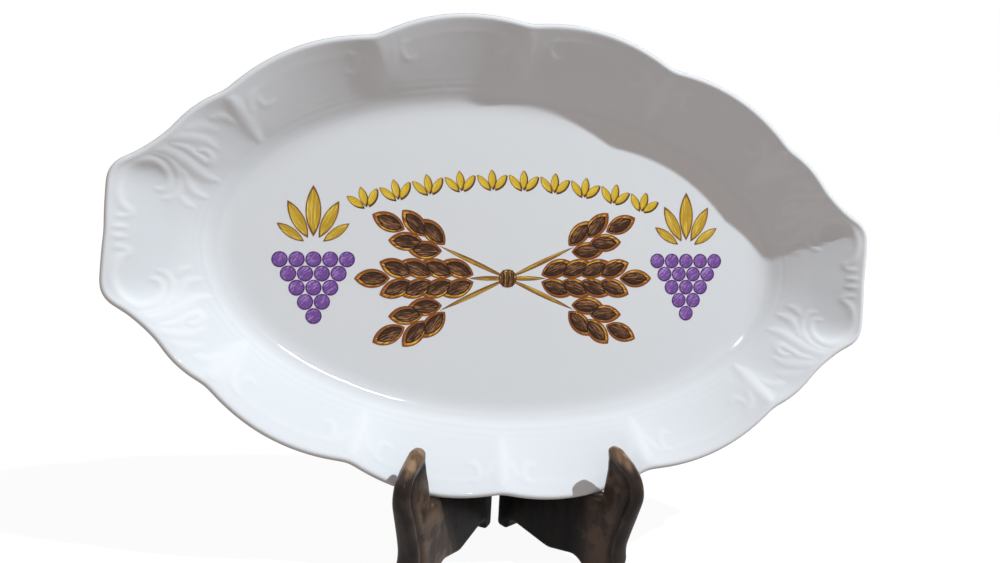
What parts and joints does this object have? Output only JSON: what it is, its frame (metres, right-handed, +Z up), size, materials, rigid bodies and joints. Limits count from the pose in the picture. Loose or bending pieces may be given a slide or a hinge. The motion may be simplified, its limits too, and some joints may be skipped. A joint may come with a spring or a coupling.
{
  "type": "ritual serving platter on a folding stand",
  "caption": "Oval white porcelain platter with a scalloped edge and a wheat and grape print, leaning on a folding dark wooden stand.",
  "frame": {"origin": "on the table, under the middle of the whole object's box", "axes": "+X to the viewer's right along the platter, +Y away from the viewer, +Z up"},
  "size_m": [0.4008, 0.0888, 0.2904],
  "materials": {
    "porcelain": "gloss",
    "gilt": "satin",
    "wheat_print": "gloss",
    "grape_print": "gloss",
    "gold_print": "gloss",
    "walnut": "satin",
    "brass": "satin"
  },
  "bodies": {
    "left_half": {"left_leaf": "walnut", "lower_hinge_left_plate": "brass", "lower_hinge_pin": "brass", "lower_hinge_left_screws": "brass", "upper_hinge_left_plate": "brass", "upper_hinge_pin": "brass", "upper_hinge_left_screws": "brass"},
    "right_half": {"right_leaf": "walnut", "lower_hinge_right_plate": "brass", "lower_hinge_right_screws": "brass", "upper_hinge_right_plate": "brass", "upper_hinge_right_screws": "brass"},
    "platter": {"platter_body": "porcelain", "gilt_edge_line": "gilt", "print_wheat_centre": "wheat_print", "print_grapes_left": "grape_print", "print_grapes_right": "grape_print", "print_gold_garland": "gold_print"}
  },
  "joints": [
    {"name": "platter_lift", "type": "slide", "parent": "left_half", "child": "platter", "axis": [0, 0, 1], "range_m": [0, 0.2]},
    {"name": "stand_fold", "type": "hinge", "parent": "left_half", "child": "right_half", "pos_m": [0.002, 0.03961, 0.05], "axis": [0, 0, -1], "range_deg": [0, 66]}
  ],
  "couplings": [
    {"joint": "stand_fold", "follows": "platter_lift", "rad_per_m": 5.759}
  ]
}
